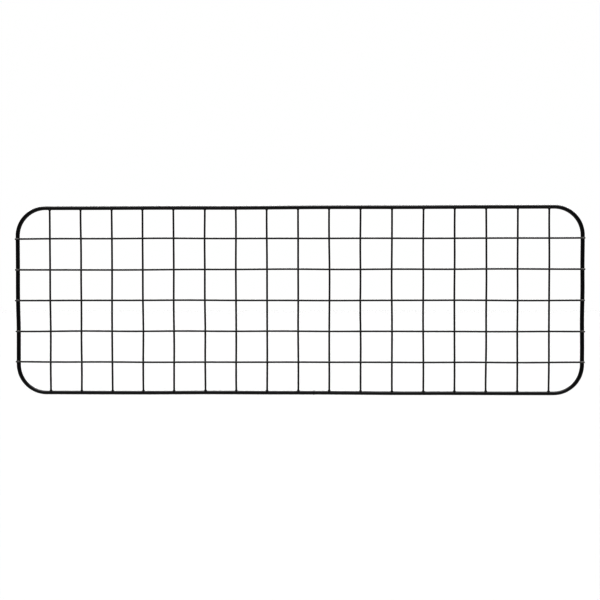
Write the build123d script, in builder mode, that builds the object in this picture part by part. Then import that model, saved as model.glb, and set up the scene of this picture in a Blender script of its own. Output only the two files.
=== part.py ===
"""Welded wire screen for a truck's headache rack, in millimetres.

One steel rod is bent into a loop with four round corners and butt-welded shut. Five horizontal
wires lie on the front of the loop's sides, cropped almost flush with the outside of it.
Seventeen vertical wires lie behind the horizontal ones and are tacked to the top and bottom rails.
The screen stands upright in the XZ plane: +Z is up, and -Y is the front. The origin is the centre
of the loop, on the rod's centre plane.
"""
import os

from build123d import *

# Rod loop
LOOP_OUTER_WIDTH = 1371.6         # 54 in
LOOP_OUTER_HEIGHT = 457.2         # 18 in
ROD_RADIUS = 4.7625               # 3/8 in rod
BEND_RADIUS = 68.25               # at the rod's centre line, bent round a 5 in former

# Wire grid: a 3 in mesh, closed up a little to divide the loop evenly
COLUMNS = 17                      # vertical wires
ROWS = 5                          # horizontal wires
COLUMN_PITCH = 75.2               # what is left over is in the two end bays
WIRE_RADIUS = 2.0
WIRE_OVERHANG = 0.4               # horizontal wire past the outside of the loop
SET_DOWN = 0.4                    # how far a resistance weld sinks one member into the other
END_CHAMFER = 0.35                # on the cropped ends of the horizontal wires

# Butt weld that closes the loop
BUTT_BAYS_FROM_CENTRE = 0.5       # in column pitches: the middle of a bay of the bottom rail
ROOT_GAP = 1.6
BUTT_BEVEL = 1.4
BUTT_CROWN = 0.5

# Tack welds
TACK_RADIUS = 2.6                 # ball of weld round each end of a vertical wire
TACK_FROM_RAIL = 4.2              # from the rail's axis to the ball's centre
WIRE_END_FROM_RAIL = 3.6          # from the rail's axis to the cropped end of a vertical wire
FLASH_RADIUS = 3.2                # flash squeezed out where a horizontal wire crosses a side
FLASH_THICKNESS = 1.3             # half of it, front to back

# Worked out from the above
SIDE_X = LOOP_OUTER_WIDTH / 2 - ROD_RADIUS
RAIL_Z = LOOP_OUTER_HEIGHT / 2 - ROD_RADIUS
ROW_PITCH = 2 * RAIL_Z / (ROWS + 1)
HORIZONTAL_Y = -(ROD_RADIUS + WIRE_RADIUS - SET_DOWN)
VERTICAL_Y = HORIZONTAL_Y + 2 * WIRE_RADIUS - SET_DOWN
FLASH_Y = -(ROD_RADIUS - SET_DOWN / 2)
BUTT_X = BUTT_BAYS_FROM_CENTRE * COLUMN_PITCH
WIRE_REACH_X = SIDE_X + ROD_RADIUS + WIRE_OVERHANG
WIRE_REACH_Z = RAIL_Z - WIRE_END_FROM_RAIL
COLUMN_X = [(i - (COLUMNS - 1) / 2) * COLUMN_PITCH for i in range(COLUMNS)]
ROW_Z = [((ROWS - 1) / 2 - i) * ROW_PITCH for i in range(ROWS)]


def write(part, name):
    """Labels a finished piece and writes its STEP."""
    part.label = name
    export_step(part, f"parts/{name}.step")


def along_x(radius, length, y, z, mode):
    """A round bar along X, added to or cut from the part being built."""
    with Locations(Location((0, y, z), (0, 90, 0))):
        Cylinder(radius, length, mode=mode)


def along_z(radius, length, x, y, mode):
    """A round bar along Z, added to or cut from the part being built."""
    with Locations((x, y, 0)):
        Cylinder(radius, length, mode=mode)


def cut_horizontal_wires():
    """Cuts the seats that the horizontal wires sink into."""
    for z in ROW_Z:
        along_x(WIRE_RADIUS, 2 * WIRE_REACH_X, HORIZONTAL_Y, z, Mode.SUBTRACT)


def cut_rails():
    """Cuts away the top and bottom rails of the loop, as straight bars."""
    for z in (RAIL_Z, -RAIL_Z):
        along_x(ROD_RADIUS, 2 * SIDE_X, 0, z, Mode.SUBTRACT)


def make_butt_weld():
    """The V-groove weld that joins the rod's two ends, with a low crown."""
    groove = ROOT_GAP / 2 + BUTT_BEVEL
    rim = ROD_RADIUS - BUTT_BEVEL
    with BuildPart() as weld:
        with BuildSketch(Plane.XZ):
            with BuildLine():
                Polyline(
                    (BUTT_X + groove, ROD_RADIUS - RAIL_Z),
                    (BUTT_X + ROOT_GAP / 2, rim - RAIL_Z),
                    (BUTT_X + ROOT_GAP / 2, -RAIL_Z),
                    (BUTT_X - ROOT_GAP / 2, -RAIL_Z),
                    (BUTT_X - ROOT_GAP / 2, rim - RAIL_Z),
                    (BUTT_X - groove, ROD_RADIUS - RAIL_Z),
                )
                ThreePointArc(
                    (BUTT_X - groove, ROD_RADIUS - RAIL_Z),
                    (BUTT_X, ROD_RADIUS + BUTT_CROWN - RAIL_Z),
                    (BUTT_X + groove, ROD_RADIUS - RAIL_Z),
                )
            make_face()
        revolve(axis=Axis((0, 0, -RAIL_Z), (1, 0, 0)))
    return weld.part


def make_perimeter_rod(butt_weld):
    """The bent rod: it starts and ends at the butt weld, and has a seat for each horizontal wire."""
    with BuildPart() as rod:
        with BuildLine(Plane.XZ) as route:
            FilletPolyline(
                (BUTT_X + ROOT_GAP / 2, -RAIL_Z),
                (SIDE_X, -RAIL_Z),
                (SIDE_X, RAIL_Z),
                (-SIDE_X, RAIL_Z),
                (-SIDE_X, -RAIL_Z),
                (BUTT_X - ROOT_GAP / 2, -RAIL_Z),
                radius=BEND_RADIUS,
            )
        with BuildSketch(Plane(origin=route.line @ 0, z_dir=route.line % 0)):
            Circle(ROD_RADIUS)
        sweep()
        cut_horizontal_wires()
        add(butt_weld, mode=Mode.SUBTRACT)
    return rod.part


def make_horizontal_wire(z):
    """A straight wire across the front of the loop, with cropped ends."""
    with BuildPart() as wire:
        along_x(WIRE_RADIUS, 2 * WIRE_REACH_X, HORIZONTAL_Y, z, Mode.ADD)
        chamfer(wire.faces().filter_by(Axis.X).edges(), END_CHAMFER)
    return wire.part


def make_vertical_wire(x):
    """A straight wire, seated on each horizontal wire and shaped to the rails at its ends."""
    with BuildPart() as wire:
        along_z(WIRE_RADIUS, 2 * WIRE_REACH_Z, x, VERTICAL_Y, Mode.ADD)
        cut_horizontal_wires()
        cut_rails()
    return wire.part


def make_rail_welds(side):
    """The tack weld round the end of every vertical wire, on the top (1) or the bottom (-1) rail."""
    with BuildPart() as welds:
        with Locations(*[(x, VERTICAL_Y, side * (RAIL_Z - TACK_FROM_RAIL)) for x in COLUMN_X]):
            Sphere(TACK_RADIUS)
        for x in COLUMN_X:
            along_z(WIRE_RADIUS, 2 * WIRE_REACH_Z, x, VERTICAL_Y, Mode.SUBTRACT)
        cut_rails()
    return welds.part


def make_side_welds(side):
    """The weld flash where each horizontal wire crosses the right (1) or the left (-1) side."""
    with BuildPart() as welds:
        for z in ROW_Z:
            with BuildSketch(Plane.XY.offset(z)):
                with Locations((side * SIDE_X, FLASH_Y)):
                    Ellipse(FLASH_RADIUS, FLASH_THICKNESS)
                with Locations((side * SIDE_X - FLASH_RADIUS, FLASH_Y)):
                    Rectangle(2 * FLASH_RADIUS, 2 * FLASH_RADIUS, mode=Mode.SUBTRACT)
            revolve(axis=Axis((side * SIDE_X, 0, z), (0, 1, 0)))
        cut_horizontal_wires()
        along_z(ROD_RADIUS, 2 * RAIL_Z, side * SIDE_X, 0, Mode.SUBTRACT)
    return welds.part


os.makedirs("parts", exist_ok=True)

frame_butt_weld = make_butt_weld()
write(make_perimeter_rod(frame_butt_weld), "perimeter_rod")
write(frame_butt_weld, "frame_butt_weld")

for number, row_z in enumerate(ROW_Z, start=1):
    write(make_horizontal_wire(row_z), f"horizontal_wire_{number}")

for number, column_x in enumerate(COLUMN_X, start=1):
    write(make_vertical_wire(column_x), f"vertical_wire_{number:02d}")

write(make_rail_welds(1), "top_rail_welds")
write(make_rail_welds(-1), "bottom_rail_welds")
write(make_side_welds(1), "right_side_welds")
write(make_side_welds(-1), "left_side_welds")
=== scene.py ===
"""Looks of a truck headache rack's wire screen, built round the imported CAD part, in metres.

The screen stands upright in the XZ plane: +Z is up, and -Y is the front. A bent rod makes the
loop. The row wires lie on the front of it, and the column wires stand behind the rows. Every
bar is rebuilt here as a fine mesh with the slight bows of real wire, and every weld is shaped.
"""
import math
import random

import bmesh
import bpy
import numpy as np
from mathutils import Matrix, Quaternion, Vector, noise


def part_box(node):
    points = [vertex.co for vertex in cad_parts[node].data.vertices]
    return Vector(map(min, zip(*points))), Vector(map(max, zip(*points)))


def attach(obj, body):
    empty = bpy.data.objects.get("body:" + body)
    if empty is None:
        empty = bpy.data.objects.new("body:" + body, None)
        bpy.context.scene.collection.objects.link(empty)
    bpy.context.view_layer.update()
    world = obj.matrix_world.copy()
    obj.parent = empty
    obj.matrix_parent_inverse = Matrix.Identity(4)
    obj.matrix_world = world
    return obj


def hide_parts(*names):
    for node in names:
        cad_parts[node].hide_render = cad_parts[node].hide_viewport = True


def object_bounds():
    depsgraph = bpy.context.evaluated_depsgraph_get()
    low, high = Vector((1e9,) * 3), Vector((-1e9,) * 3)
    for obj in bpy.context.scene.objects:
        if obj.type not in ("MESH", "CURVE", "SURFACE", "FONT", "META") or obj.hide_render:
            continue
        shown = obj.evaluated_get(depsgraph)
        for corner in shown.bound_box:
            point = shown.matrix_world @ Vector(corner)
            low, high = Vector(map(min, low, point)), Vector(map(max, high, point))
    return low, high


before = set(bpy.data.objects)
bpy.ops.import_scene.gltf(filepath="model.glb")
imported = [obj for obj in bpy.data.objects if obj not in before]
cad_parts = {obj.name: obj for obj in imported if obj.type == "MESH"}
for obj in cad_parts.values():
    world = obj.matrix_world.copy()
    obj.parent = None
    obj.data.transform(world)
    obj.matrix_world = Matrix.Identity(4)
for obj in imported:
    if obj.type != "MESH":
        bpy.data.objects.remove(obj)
cad_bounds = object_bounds()

random.seed(21)

# Bars, as in the CAD part
ROD_RADIUS = 0.0047625
WIRE_RADIUS = 0.002
BEND_RADIUS = 0.06825

# How finely the bars are meshed
ROD_SIDES = 40
WIRE_SIDES = 24
BAR_STEP = 0.0127
BEND_STEPS = 30
SHARP_ANGLE = 48                  # degrees; an edge with a wider turn is shaded sharp

# How far real bars stray from straight, and how many sine waves make up each bow
ROW_BOW = 0.00055
ROW_WAVES = 6
ROW_SHIFT = 0.0007                # along the row
COLUMN_BOW = 0.00045
COLUMN_WAVES = 3
COLUMN_SHIFT = 0.00035
LOOP_BOW = 0.0006
RAIL_WAVES = 4
SIDE_WAVES = 2
CROSSING_ROUNDS = 3               # enough to find where two bowed wires cross

# Ends of the row wires, where they are welded over the loop's sides and then cropped
WORN_AND_HIGHLIGHT_LENGTH = 0.014             # of the stretch at each end painted grey, as coat rubbed thin and as painted highlight
WORN_AND_HIGHLIGHT_STEPS = 8
WORN_AND_HIGHLIGHT_AMOUNT = 1.0                 # how much painted grey shows there, as bare steel and as painted highlight, from 0 to 1
CROP_BEVEL = 0.00032
CROP_DISH = 0.00006
CROP_SLANT = 0.07                 # slope of the cropped face
CROP_PROFILE = (                  # rings of it: share of the radius, way out from the end, share of painted grey (bare steel and painted highlight)
    (1.0, -CROP_BEVEL, 0.0),
    (0.94, -CROP_BEVEL * 0.3, 0.7),
    (0.84, 0.0, 1.0),
    (0.5, -CROP_DISH, 0.5),
)
# Painted grey in the middle of the cropped face, as bare steel and as painted highlight
CROP_MIDDLE_WORN_AND_HIGHLIGHT = 0.4

# Welds: a lump of metal melted together with the bars it joins
WELD_SIDES = 36
WELD_RINGS = 24
WELD_STEPS = 40                   # outwards, to find its skin roughly
WELD_HALVINGS = 12                # of the last step, to find it exactly
WELD_UNEVEN = 0.05                # of its size, from one weld to the next
WELD_LUMPS = 0.11                 # of its size, from place to place on it
WELD_LUMP_SCALE = 1.9
WELD_NOISE_SPAN = 50              # each weld takes its lumps from another place in the noise
WELD_BAR = 0.03                   # how much of each bar is melted with a weld, to each side
WELD_DIVE = 0.5                   # slope at which the melted bars sink under the real ones
TACK_SIZE = Vector((0.0028, 0.0024, 0.0025))
TACK_FROM_RAIL = 0.0045
TACK_BLEND = 0.0018
TACK_REACH = 0.0062
WIRE_INTO_RAIL = 0.0036           # from the rail's axis to the end of a column wire
CROSSING_SIZE = Vector((0.0019, 0.0012, 0.0019))
SIDE_FLASH_SIZE = Vector((0.0029, 0.0012, 0.0021))
FLASH_BLEND = 0.0013
FLASH_REACH = 0.0042

# Butt weld that closes the loop
BUTT_RINGS = 18
BUTT_OVERRUN = 1.16               # of its half width, to where it dives under the rod's skin
BUTT_RIPPLE = 0.00005
BUTT_RIPPLES = 26                 # round the rod
BUTT_RIPPLE_CURVE = 2.5           # how far they lag at the bead's edges, in radians
BUTT_LUMPS = 0.00006
BUTT_LUMP_SCALE = 2.4

# Camera: it looks at the middle of the screen, a little from its right and from above
CAMERA_DISTANCE = 3.0
CAMERA_AZIMUTH = 1.85             # angles in degrees
CAMERA_ELEVATION = 1.8
CAMERA_ROLL = -0.09
CAMERA_TARGET = Vector((0.0043, 0.0, 0.0006))
VIEW_WIDTH = 1.4482               # of what the picture takes in, at the screen
SENSOR_WIDTH = 36.0               # in millimetres

# Studio
FLOOR_DROP = 1.0                  # the floor, below the screen
FLOOR_FRONT = 2.5                 # short in front, so that the bars' faces don't mirror it
FLOOR_FADE = 1.0                  # the stretch in which it fades out there
FLOOR_BACK = 30.0
FLOOR_WIDTH = 60.0
FLOOR_SHADE = 0.317               # under this light it shows as white as the background
FLOOR_ROUGHNESS = 0.9
FRONT_LIGHT = 0.04
SOFT_LIGHTS = (                   # way to its middle, cosines at its rim and its core, strength
    ((0.0, 0.0, 1.0), 0.2, 0.9, 0.7),
    ((0.0, 0.0, 1.0), 0.84, 0.97, 3.5),
    ((0.0, 0.8, 0.6), 0.7, 0.95, 8.0),
    ((0.0, -0.55, 0.835), 0.9, 0.97, 5.0),
)
PICTURE_GAMMA = 0.65              # darkens all that is short of white

# Powder coat and steel. A pattern is noise, given by its scale and its detail. The clouds, patches
# and spots are masks, and also give the values of the noise at which they start and are full.
COAT_IOR = 1.5
CLOUDS = (34.0, 4.0, 0.35, 0.65)       # of a lighter shade
PATCHES = (160.0, 3.0, 0.3, 0.7)       # of another roughness
PATCH_SPREAD = (-0.05, 0.06)           # added to the roughness outside them and in them
WORN_AND_HIGHLIGHT_SPOTS = (1300.0, 2.0, 0.36, 0.56)      # where the painted grey shows fully: coat worn through, and painted highlight
WORN_AND_HIGHLIGHT_SPREAD = (0.1, 1.0)               # how much painted grey (bare steel and painted highlight) shows outside them and in them
ORANGE_PEEL = (620.0, 2.0)
GRAIN = (3600.0, 2.0)
STEEL_AND_HIGHLIGHT_GREY = (0.2, 0.192, 0.184)       # dull grey of bare steel, which also stands in for a painted highlight


class Shape:
    """Points and faces of one mesh. Every ring goes once round in the same sense."""

    def __init__(self):
        self.points = []
        self.faces = []
        self.bare_and_highlight = []

    def ring(self, points, bare_and_highlight=0.0):
        """Adds a ring and returns the number of its first point."""
        first = len(self.points)
        self.points.extend(points)
        self.bare_and_highlight.extend([bare_and_highlight] * len(points))
        return first

    def bridge(self, low, high, sides):
        """Joins two rings with a band of faces."""
        for i in range(sides):
            j = (i + 1) % sides
            self.faces.append((low + i, low + j, high + j, high + i))

    def cap(self, ring, sides, centre, bare_and_highlight=0.0):
        """Closes a ring with a fan round a centre point."""
        middle = self.ring([centre], bare_and_highlight)
        for i in range(sides):
            self.faces.append((ring + i, ring + (i + 1) % sides, middle))

    def close_rings(self, firsts, sides, start, end):
        """Joins rings in a row and closes both ends."""
        for low, high in zip(firsts, firsts[1:]):
            self.bridge(low, high, sides)
        self.cap(firsts[0], sides, start)
        self.cap(firsts[-1], sides, end)


def angles(sides):
    """The angles of a ring's points."""
    return [math.tau * i / sides for i in range(sides)]


def make_bow(height, waves):
    """The bow of a bar as a function of place, which runs from -1 to 1 along it."""
    terms = []
    for n in range(1, waves + 1):
        size = random.uniform(-1, 1) * height / math.sqrt(n)
        phase = random.uniform(0, math.tau)
        terms.append((size, n, phase))

    def bow(place):
        return sum(size * math.sin(n * math.pi * place + phase) for size, n, phase in terms)

    return bow


def make_piece(name, shape, material, slot, *nodes):
    """Turns a shape into an object that rides on the part and stands for its CAD nodes."""
    mesh = bpy.data.meshes.new(name)
    mesh.from_pydata(shape.points, [], shape.faces)
    edit = bmesh.new()
    edit.from_mesh(mesh)
    bmesh.ops.recalc_face_normals(edit, faces=edit.faces)
    edit.to_mesh(mesh)
    edit.free()
    bare_and_highlight = mesh.attributes.new("bare_and_highlight", "FLOAT", "POINT")
    bare_and_highlight.data.foreach_set("value", shape.bare_and_highlight)
    mesh.shade_smooth()
    mesh.set_sharp_from_angle(angle=math.radians(SHARP_ANGLE))
    mesh.materials.append(material)
    piece = bpy.data.objects.new(name, mesh)
    bpy.context.scene.collection.objects.link(piece)
    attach(piece, "root")
    if nodes:
        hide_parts(*nodes)
    return piece


# ---------------------------------------------------------------- places, from the CAD part

def middle_and_reach(node):
    """A CAD node's middle, and half its size."""
    low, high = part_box(node)
    return (low + high) / 2, (high - low) / 2


def numbered(start):
    """The CAD nodes whose names start so, in order."""
    return sorted(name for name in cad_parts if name.startswith(start))


loop_reach = middle_and_reach("perimeter_rod")[1]
side_x = loop_reach.x - ROD_RADIUS
rail_z = loop_reach.z - ROD_RADIUS
row_nodes = numbered("horizontal_wire_")
column_nodes = numbered("vertical_wire_")
row_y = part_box(row_nodes[0])[0].y + WIRE_RADIUS
column_y = middle_and_reach(column_nodes[0])[0].y
row_reach = middle_and_reach(row_nodes[0])[1].x

row_z = [middle_and_reach(node)[0].z for node in row_nodes]
column_x = [
    middle_and_reach(node)[0].x + random.uniform(-1, 1) * COLUMN_SHIFT
    for node in column_nodes
]
row_bows = [make_bow(ROW_BOW, ROW_WAVES) for _ in row_nodes]
column_bows = [make_bow(COLUMN_BOW, COLUMN_WAVES) for _ in column_nodes]
rail_bows = {side: make_bow(LOOP_BOW, RAIL_WAVES) for side in (1, -1)}
side_bows = {side: make_bow(LOOP_BOW, SIDE_WAVES) for side in (1, -1)}
row_shift = [random.uniform(-1, 1) * ROW_SHIFT for _ in row_nodes]


def row_height(row, x):
    """Height of a row wire's axis at x."""
    return row_z[row] + row_bows[row](x / row_reach)


def column_place(column, z):
    """X of a column wire's axis at height z."""
    return column_x[column] + column_bows[column](z / rail_z)


def rail_height(side, x):
    """Height of the top (1) or bottom (-1) rail's axis at x. The bow fades out at the bends."""
    place = x / (side_x - BEND_RADIUS)
    fade = max(1 - place * place, 0)
    return side * rail_z + fade * rail_bows[side](place)


def side_place(side, z):
    """X of the right (1) or left (-1) side's axis at height z. The bow fades out at the bends."""
    place = z / (rail_z - BEND_RADIUS)
    fade = max(1 - place * place, 0)
    return side * side_x + fade * side_bows[side](place)


def crossing(row, column):
    """Where a row wire and a column wire cross, seen from the front."""
    x = column_x[column]
    for _ in range(CROSSING_ROUNDS):
        z = row_height(row, x)
        x = column_place(column, z)
    return x, z


# ---------------------------------------------------------------- bars

def directions(points, closed):
    """Unit direction of the path at each point."""
    found = []
    for i in range(len(points)):
        before = points[i - 1] if closed or i > 0 else points[0]
        after = points[(i + 1) % len(points)] if closed or i < len(points) - 1 else points[-1]
        found.append((after - before).normalized())
    return found


def bar_ring(centre, along, radius, sides, slant=0.0, turn=0.0):
    """Points of a ring round a bar that lies in the XZ plane. slant tips the ring, towards turn."""
    across = along.cross(Vector((0, 1, 0)))
    out = []
    for angle in angles(sides):
        spoke = across * math.cos(angle) + Vector((0, 1, 0)) * math.sin(angle)
        tip = slant * radius * math.cos(angle - turn)
        out.append(centre + spoke * radius + along * tip)
    return out


def loop_path():
    """Points along the loop's axis, once round, with evenly divided bends."""
    centre_x = side_x - BEND_RADIUS
    centre_z = rail_z - BEND_RADIUS
    corners = ((1, 1, 0), (-1, 1, 1), (-1, -1, 2), (1, -1, 3))
    points = []
    for sign_x, sign_z, quarter in corners:
        for i in range(BEND_STEPS + 1):
            angle = math.pi / 2 * (quarter + i / BEND_STEPS)
            x = sign_x * centre_x + BEND_RADIUS * math.cos(angle)
            z = sign_z * centre_z + BEND_RADIUS * math.sin(angle)
            points.append(Vector((x, 0, z)))
        if quarter % 2 == 0:
            steps = round(2 * centre_x / BAR_STEP)
            for i in range(1, steps):
                x = sign_x * centre_x * (1 - 2 * i / steps)
                points.append(Vector((x, 0, rail_height(sign_z, x))))
        else:
            steps = round(2 * centre_z / BAR_STEP)
            for i in range(1, steps):
                z = sign_z * centre_z * (1 - 2 * i / steps)
                points.append(Vector((side_place(sign_x, z), 0, z)))
    return points


def make_loop(material):
    """The bent rod, as one closed tube."""
    shape = Shape()
    points = loop_path()
    rings = []
    for centre, along in zip(points, directions(points, True)):
        rings.append(shape.ring(bar_ring(centre, along, ROD_RADIUS, ROD_SIDES)))
    for low, high in zip(rings, rings[1:] + rings[:1]):
        shape.bridge(low, high, ROD_SIDES)
    make_piece("loop_rod", shape, material, "rod_coat", "perimeter_rod")


def add_cropped_end(shape, ring, centre, along, outward):
    """Ends a wire with a bevelled, slightly slanting and dished face, painted grey at the edge as
    thin coat and as painted highlight.
    """
    turn = random.uniform(0, math.tau)
    slant = random.uniform(-1, 1) * CROP_SLANT
    for scale, offset, bare_and_highlight in CROP_PROFILE:
        place = centre + along * offset * outward
        points = bar_ring(place, along, WIRE_RADIUS * scale, WIRE_SIDES, slant, turn)
        end = shape.ring(points, bare_and_highlight)
        shape.bridge(ring, end, WIRE_SIDES)
        ring = end
    shape.cap(ring, WIRE_SIDES, centre - along * CROP_DISH * outward, CROP_MIDDLE_WORN_AND_HIGHLIGHT)


def row_places():
    """X of a row wire's rings, which stand closer together where the ends are painted grey, as
    rubbed coat and as painted highlight.
    """
    inner = row_reach - WORN_AND_HIGHLIGHT_LENGTH
    steps = round(2 * inner / BAR_STEP)
    middle = [inner * (2 * i / steps - 1) for i in range(steps + 1)]
    end = [inner + WORN_AND_HIGHLIGHT_LENGTH * (i + 1) / WORN_AND_HIGHLIGHT_STEPS for i in range(WORN_AND_HIGHLIGHT_STEPS)]
    return [-x for x in reversed(end)] + middle + end


def make_row_wire(row, material):
    """A wire across the front of the loop, with a slight bow and cropped ends.

    The painted grey at each end, as thin coat and as painted highlight, grows over the first half
    of that stretch.
    """
    shape = Shape()
    points = [Vector((x + row_shift[row], row_y, row_height(row, x))) for x in row_places()]
    ways = directions(points, False)
    rings = []
    for centre, along in list(zip(points, ways))[1:-1]:
        into_worn_and_highlight = (abs(centre.x - row_shift[row]) - row_reach) / WORN_AND_HIGHLIGHT_LENGTH + 1
        bare_and_highlight = WORN_AND_HIGHLIGHT_AMOUNT * min(max(2 * into_worn_and_highlight, 0), 1)
        rings.append(shape.ring(bar_ring(centre, along, WIRE_RADIUS, WIRE_SIDES), bare_and_highlight))
    for low, high in zip(rings, rings[1:]):
        shape.bridge(low, high, WIRE_SIDES)
    add_cropped_end(shape, rings[0], points[0], ways[0], -1)
    add_cropped_end(shape, rings[-1], points[-1], ways[-1], 1)
    make_piece(f"row_wire_{row + 1}", shape, material, "wire_coat", row_nodes[row])


def make_column_wire(column, material):
    """A wire behind the rows, with a slight bow. Its ends are buried in the tacks on the rails."""
    shape = Shape()
    top = rail_height(1, column_x[column]) - WIRE_INTO_RAIL
    bottom = rail_height(-1, column_x[column]) + WIRE_INTO_RAIL
    steps = round((top - bottom) / BAR_STEP)
    heights = [bottom + (top - bottom) * i / steps for i in range(steps + 1)]
    points = [Vector((column_place(column, z), column_y, z)) for z in heights]
    rings = []
    for centre, along in zip(points, directions(points, False)):
        rings.append(shape.ring(bar_ring(centre, along, WIRE_RADIUS, WIRE_SIDES)))
    shape.close_rings(rings, WIRE_SIDES, points[0], points[-1])
    name = f"column_wire_{column + 1:02d}"
    make_piece(name, shape, material, "wire_coat", column_nodes[column])


# ---------------------------------------------------------------- welds

def bar_distance(points, start, end, radius):
    """Distance from each point to the skin of a round-ended bar, negative inside."""
    start = np.array(start)
    run = np.array(end) - start
    offset = points - start
    along = np.clip(offset @ run / (run @ run), 0, 1)
    return np.linalg.norm(offset - along[:, None] * run, axis=1) - radius


def melt(first, second, blend):
    """The smaller of two distances, rounded off where they are nearly equal."""
    near = np.maximum(blend - np.abs(first - second), 0) / blend
    return np.minimum(first, second) - near * near * blend / 4


def weld_spokes(pole):
    """Directions from a weld's middle, in rings round its pole, which is X, Y or Z by number."""
    spokes = []
    for i in range(WELD_RINGS):
        polar = math.pi * (i + 0.5) / WELD_RINGS
        for angle in angles(WELD_SIDES):
            parts = [math.sin(polar) * math.cos(angle), math.sin(polar) * math.sin(angle)]
            parts.insert(pole, math.cos(polar))
            spokes.append(parts)
    return np.array(spokes)


def add_weld(shape, centre, size, bars, blend, reach, pole, bare_and_highlight=0.0):
    """Adds one weld: a lumpy bead melted together with the bars, as far out as reach."""
    spokes = weld_spokes(pole)
    uneven = random.uniform(1 - WELD_UNEVEN, 1 + WELD_UNEVEN)
    bead = uneven / np.linalg.norm(spokes / np.array(size), axis=1)
    seed = Vector([random.uniform(0, WELD_NOISE_SPAN) for _ in range(3)])
    lumps = [noise.noise(seed + Vector(spoke) * WELD_LUMP_SCALE) for spoke in spokes]
    bead *= [1 + WELD_LUMPS * lump for lump in lumps]

    def depth(out):
        points = np.array(centre) + spokes * out[:, None]
        dive = WELD_DIVE * np.maximum(out - bead, 0)
        total = out - bead
        for start, end, radius in bars:
            total = melt(total, bar_distance(points, start, end, radius) + dive, blend)
        return total

    inner = np.zeros(len(spokes))
    going = np.full(len(spokes), True)
    for i in range(1, WELD_STEPS + 1):
        out = np.full(len(spokes), reach * i / WELD_STEPS)
        going &= depth(out) <= 0
        inner[going] = out[going]
    outer = np.minimum(inner + reach / WELD_STEPS, reach)
    for _ in range(WELD_HALVINGS):
        middle = (inner + outer) / 2
        air = depth(middle) > 0
        outer[air] = middle[air]
        inner[~air] = middle[~air]

    skin = [centre + Vector(spoke) * out for spoke, out in zip(spokes, inner)]
    rings = []
    for i in range(WELD_RINGS):
        rings.append(shape.ring(skin[i * WELD_SIDES:(i + 1) * WELD_SIDES], bare_and_highlight))
    start = sum(skin[:WELD_SIDES], Vector()) / WELD_SIDES
    end = sum(skin[-WELD_SIDES:], Vector()) / WELD_SIDES
    shape.close_rings(rings, WELD_SIDES, start, end)


def make_rail_tacks(side, name, node, material):
    """The tack round the end of every column wire, on the top (1) or the bottom (-1) rail."""
    shape = Shape()
    for column in range(len(column_nodes)):
        x = column_place(column, side * (rail_z - TACK_FROM_RAIL))
        z = rail_height(side, x)
        wire_end = Vector((x, column_y, z - side * (WIRE_INTO_RAIL + WIRE_RADIUS)))
        along_rail = Vector((WELD_BAR, 0, 0))
        along_wire = Vector((0, 0, side * WELD_BAR))
        rail = (Vector((x, 0, z)) - along_rail, Vector((x, 0, z)) + along_rail, ROD_RADIUS)
        wire = (wire_end, wire_end - along_wire, WIRE_RADIUS)
        centre = Vector((x, column_y, z - side * TACK_FROM_RAIL))
        add_weld(shape, centre, TACK_SIZE, (rail, wire), TACK_BLEND, TACK_REACH, 2)
    make_piece(name, shape, material, "weld_coat", node)


def add_flash(shape, x, z, size, back_y, back_radius, bare_and_highlight=0.0):
    """The weld between a row wire and the upright bar behind it."""
    along_row = Vector((WELD_BAR, 0, 0))
    along_bar = Vector((0, 0, WELD_BAR))
    on_row = Vector((x, row_y, z))
    on_bar = Vector((x, back_y, z))
    row_wire = (on_row - along_row, on_row + along_row, WIRE_RADIUS)
    back_bar = (on_bar - along_bar, on_bar + along_bar, back_radius)
    centre = Vector((x, (row_y + WIRE_RADIUS + back_y - back_radius) / 2, z))
    add_weld(shape, centre, size, (row_wire, back_bar), FLASH_BLEND, FLASH_REACH, 1, bare_and_highlight)


def make_crossing_flash(row, material):
    """The weld at every crossing of a row wire with the column wires behind it."""
    shape = Shape()
    for column in range(len(column_nodes)):
        x, z = crossing(row, column)
        add_flash(shape, x, z, CROSSING_SIZE, column_y, WIRE_RADIUS)
    make_piece(f"crossing_flash_{row + 1}", shape, material, "weld_coat")


def make_side_flash(side, name, node, material):
    """The weld at every crossing of the row wires with the right (1) or left (-1) side."""
    shape = Shape()
    for row in range(len(row_nodes)):
        z = row_height(row, side * side_x)
        x = side_place(side, z)
        # These welds are painted grey all over, as bare steel and as the painted highlight at the
        # side crossings
        add_flash(shape, x, z, SIDE_FLASH_SIZE, 0.0, ROD_RADIUS, WORN_AND_HIGHLIGHT_AMOUNT)
    make_piece(name, shape, material, "weld_coat", node)


def make_butt_weld(material):
    """The bead where the rod's two ends meet, dressed low, with fine ripples round the rod."""
    shape = Shape()
    middle, reach = middle_and_reach("frame_butt_weld")
    crown = reach.z - ROD_RADIUS
    centre_z = rail_height(-1, middle.x)
    centres = []
    rings = []
    for i in range(BUTT_RINGS + 1):
        t = BUTT_OVERRUN * (2 * i / BUTT_RINGS - 1)
        centre = Vector((middle.x + reach.x * t, 0, centre_z))
        height = crown * (1 - t * t)
        ring = []
        for angle in angles(ROD_SIDES * 2):
            phase = BUTT_RIPPLES * angle + BUTT_RIPPLE_CURVE * t * t
            ripple = BUTT_RIPPLE * max(1 - t * t, 0) * math.sin(phase)
            where = Vector((math.cos(angle), math.sin(angle), t)) * BUTT_LUMP_SCALE
            lumps = BUTT_LUMPS * noise.noise(where)
            spoke = Vector((0, math.sin(angle), math.cos(angle)))
            ring.append(centre + spoke * (ROD_RADIUS + height + ripple + lumps))
        centres.append(centre)
        rings.append(shape.ring(ring))
    shape.close_rings(rings, ROD_SIDES * 2, centres[0], centres[-1])
    make_piece("loop_butt_weld", shape, material, "weld_coat", "frame_butt_weld")


# ---------------------------------------------------------------- materials

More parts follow.
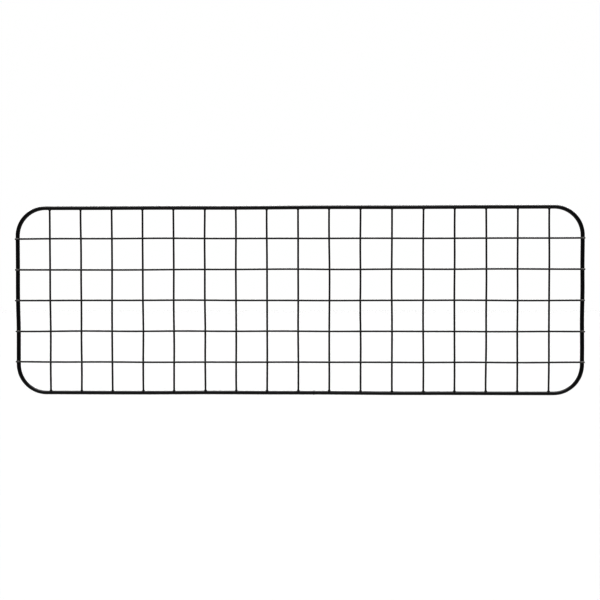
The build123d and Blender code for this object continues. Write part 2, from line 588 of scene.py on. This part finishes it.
def new_node(tree, kind, **settings):
    """Adds a node. Settings name its properties, or its inputs in words joined by _."""
    made = tree.nodes.new(kind)
    for key, value in settings.items():
        if hasattr(made, key):
            setattr(made, key, value)
        else:
            made.inputs[key.replace("_", " ")].default_value = value
    return made


def map_range(tree, value, low, high, to_low, to_high, **settings):
    """Adds a node that maps low to high on to to_low to to_high."""
    made = new_node(
        tree,
        "ShaderNodeMapRange",
        From_Min=low,
        From_Max=high,
        To_Min=to_low,
        To_Max=to_high,
        **settings,
    )
    tree.links.new(value, made.inputs["Value"])
    return made.outputs["Result"]


def powder_coat(name, dark, light, roughness, peel, grain):
    """Black powder coat, painted grey where the mesh's attribute for it says so, as bare steel and
    as painted highlight.

    peel and grain are the depths of its orange peel and of its fine texture.
    """
    material = bpy.data.materials.new(name)
    material.use_nodes = True
    tree = material.node_tree
    shader = tree.nodes["Principled BSDF"]
    shader.inputs["IOR"].default_value = COAT_IOR
    place = new_node(tree, "ShaderNodeTexCoord").outputs["Object"]

    def lumps(scale, detail):
        made = new_node(tree, "ShaderNodeTexNoise", Scale=scale, Detail=detail)
        tree.links.new(place, made.inputs["Vector"])
        return made.outputs["Fac"]

    def mask(pattern, least, most):
        scale, detail, low, high = pattern
        return map_range(tree, lumps(scale, detail), low, high, least, most)

    def combine(operation, first, second):
        made = new_node(tree, "ShaderNodeMath", operation=operation)
        for socket, value in zip(made.inputs, (first, second)):
            if isinstance(value, float):
                socket.default_value = value
            else:
                tree.links.new(value, socket)
        return made.outputs["Value"]

    def blend(amount, first, second):
        made = new_node(tree, "ShaderNodeMix", data_type="RGBA")
        tree.links.new(amount, made.inputs["Factor"])
        # Inputs 6 and 7 and output 2 are the node's sockets for colours
        for socket, value in ((made.inputs[6], first), (made.inputs[7], second)):
            if isinstance(value, tuple):
                socket.default_value = (*value, 1.0)
            else:
                tree.links.new(value, socket)
        return made.outputs[2]

    coat = blend(mask(CLOUDS, 0.0, 1.0), dark, light)
    # Painted grey: bare steel and painted highlight, mottled by the spots
    bare_and_highlight = new_node(tree, "ShaderNodeAttribute", attribute_name="bare_and_highlight").outputs["Fac"]
    worn_and_highlight = combine("MULTIPLY", bare_and_highlight, mask(WORN_AND_HIGHLIGHT_SPOTS, *WORN_AND_HIGHLIGHT_SPREAD))
    tree.links.new(blend(worn_and_highlight, coat, STEEL_AND_HIGHLIGHT_GREY), shader.inputs["Base Color"])

    patches = mask(PATCHES, *(roughness + change for change in PATCH_SPREAD))
    tree.links.new(patches, shader.inputs["Roughness"])

    peel_height = combine("MULTIPLY", lumps(*ORANGE_PEEL), peel)
    grain_height = combine("MULTIPLY", lumps(*GRAIN), grain)
    bump = new_node(tree, "ShaderNodeBump", Strength=1.0, Distance=1.0)
    tree.links.new(combine("ADD", peel_height, grain_height), bump.inputs["Height"])
    tree.links.new(bump.outputs["Normal"], shader.inputs["Normal"])
    return material


def pale_floor():
    """Plain, matt and pale, for the studio floor, which fades out at the front."""
    material = bpy.data.materials.new("pale_floor")
    material.use_nodes = True
    tree = material.node_tree
    shader = tree.nodes["Principled BSDF"]
    shader.inputs["Base Color"].default_value = (FLOOR_SHADE, FLOOR_SHADE, FLOOR_SHADE, 1.0)
    shader.inputs["Roughness"].default_value = FLOOR_ROUGHNESS
    shader.inputs["Specular IOR Level"].default_value = 0.0

    place = new_node(tree, "ShaderNodeTexCoord").outputs["Object"]
    split = new_node(tree, "ShaderNodeSeparateXYZ")
    tree.links.new(place, split.inputs["Vector"])
    start = -FLOOR_FRONT
    end = FLOOR_FADE - FLOOR_FRONT
    solid = map_range(
        tree, split.outputs["Y"], start, end, 0.0, 1.0, interpolation_type="SMOOTHSTEP",
    )
    mix = new_node(tree, "ShaderNodeMixShader")
    tree.links.new(solid, mix.inputs["Fac"])
    tree.links.new(new_node(tree, "ShaderNodeBsdfTransparent").outputs["BSDF"], mix.inputs[1])
    tree.links.new(shader.outputs["BSDF"], mix.inputs[2])
    tree.links.new(mix.outputs["Shader"], tree.nodes["Material Output"].inputs["Surface"])
    return material


# ---------------------------------------------------------------- studio

def make_floor():
    """A wide pale floor, well below the screen, so that the screen throws no shadow that shows."""
    low = cad_bounds[0].z - FLOOR_DROP
    corners = (
        (-FLOOR_WIDTH / 2, -FLOOR_FRONT, low),
        (FLOOR_WIDTH / 2, -FLOOR_FRONT, low),
        (FLOOR_WIDTH / 2, FLOOR_BACK, low),
        (-FLOOR_WIDTH / 2, FLOOR_BACK, low),
    )
    mesh = bpy.data.meshes.new("floor")
    mesh.from_pydata(corners, [], [(0, 1, 2, 3)])
    mesh.materials.append(pale_floor())
    floor = bpy.data.objects.new("floor", mesh)
    bpy.context.scene.collection.objects.link(floor)


def make_world():
    """White all round to look at. As light it is dim in front, and bright above and behind."""
    world = bpy.data.worlds.new("studio")
    bpy.context.scene.world = world
    world.use_nodes = True
    tree = world.node_tree
    background = tree.nodes["Background"]
    way = new_node(tree, "ShaderNodeTexCoord").outputs["Generated"]

    total = new_node(tree, "ShaderNodeValue").outputs["Value"]
    total.default_value = FRONT_LIGHT
    for middle, rim, core, strength in SOFT_LIGHTS:
        cosine = new_node(tree, "ShaderNodeVectorMath", operation="DOT_PRODUCT")
        tree.links.new(way, cosine.inputs[0])
        cosine.inputs[1].default_value = middle
        facing = cosine.outputs["Value"]
        glow = map_range(
            tree, facing, rim, core, 0.0, strength, interpolation_type="SMOOTHSTEP",
        )
        add = new_node(tree, "ShaderNodeMath", operation="ADD")
        tree.links.new(total, add.inputs[0])
        tree.links.new(glow, add.inputs[1])
        total = add.outputs["Value"]

    # Inputs 0, 2 and 3 and output 0 are the mix node's sockets for single values
    seen = new_node(tree, "ShaderNodeLightPath").outputs["Is Camera Ray"]
    choose = new_node(tree, "ShaderNodeMix", data_type="FLOAT")
    tree.links.new(seen, choose.inputs[0])
    tree.links.new(total, choose.inputs[2])
    choose.inputs[3].default_value = 1.0
    tree.links.new(choose.outputs[0], background.inputs["Strength"])
    background.inputs["Color"].default_value = (1.0, 1.0, 1.0, 1.0)


def make_camera():
    """The camera, a little to the right of the screen's middle and above it."""
    azimuth = math.radians(CAMERA_AZIMUTH)
    elevation = math.radians(CAMERA_ELEVATION)
    back = Vector((
        math.sin(azimuth) * math.cos(elevation),
        -math.cos(azimuth) * math.cos(elevation),
        math.sin(elevation),
    ))
    camera = bpy.data.objects.new("camera", bpy.data.cameras.new("camera"))
    camera.data.sensor_width = SENSOR_WIDTH
    camera.data.lens = SENSOR_WIDTH * CAMERA_DISTANCE / VIEW_WIDTH
    camera.location = CAMERA_TARGET + back * CAMERA_DISTANCE
    aim = (-back).to_track_quat("-Z", "Y") @ Quaternion((0, 0, 1), math.radians(CAMERA_ROLL))
    camera.rotation_euler = aim.to_euler()
    bpy.context.scene.collection.objects.link(camera)
    bpy.context.scene.camera = camera


# ---------------------------------------------------------------- the scene

rod_coat = powder_coat(
    "rod_powder_coat",
    dark=(0.008, 0.008, 0.009),
    light=(0.014, 0.013, 0.013),
    roughness=0.34,
    peel=0.000012,
    grain=0.0000012,
)
wire_coat = powder_coat(
    "wire_powder_coat",
    dark=(0.009, 0.009, 0.010),
    light=(0.016, 0.015, 0.015),
    roughness=0.50,
    peel=0.000009,
    grain=0.0000012,
)
weld_coat = powder_coat(
    "weld_powder_coat",
    dark=(0.010, 0.010, 0.011),
    light=(0.019, 0.018, 0.017),
    roughness=0.44,
    peel=0.000018,
    grain=0.0000025,
)

make_loop(rod_coat)
make_butt_weld(weld_coat)
for row in range(len(row_nodes)):
    make_row_wire(row, wire_coat)
    make_crossing_flash(row, weld_coat)
for column in range(len(column_nodes)):
    make_column_wire(column, wire_coat)
make_rail_tacks(1, "top_tacks", "top_rail_welds", weld_coat)
make_rail_tacks(-1, "bottom_tacks", "bottom_rail_welds", weld_coat)
make_side_flash(1, "right_flash", "right_side_welds", weld_coat)
make_side_flash(-1, "left_flash", "left_side_welds", weld_coat)

make_floor()
make_world()
make_camera()
bpy.context.scene.view_settings.view_transform = "Standard"
bpy.context.scene.view_settings.gamma = PICTURE_GAMMA
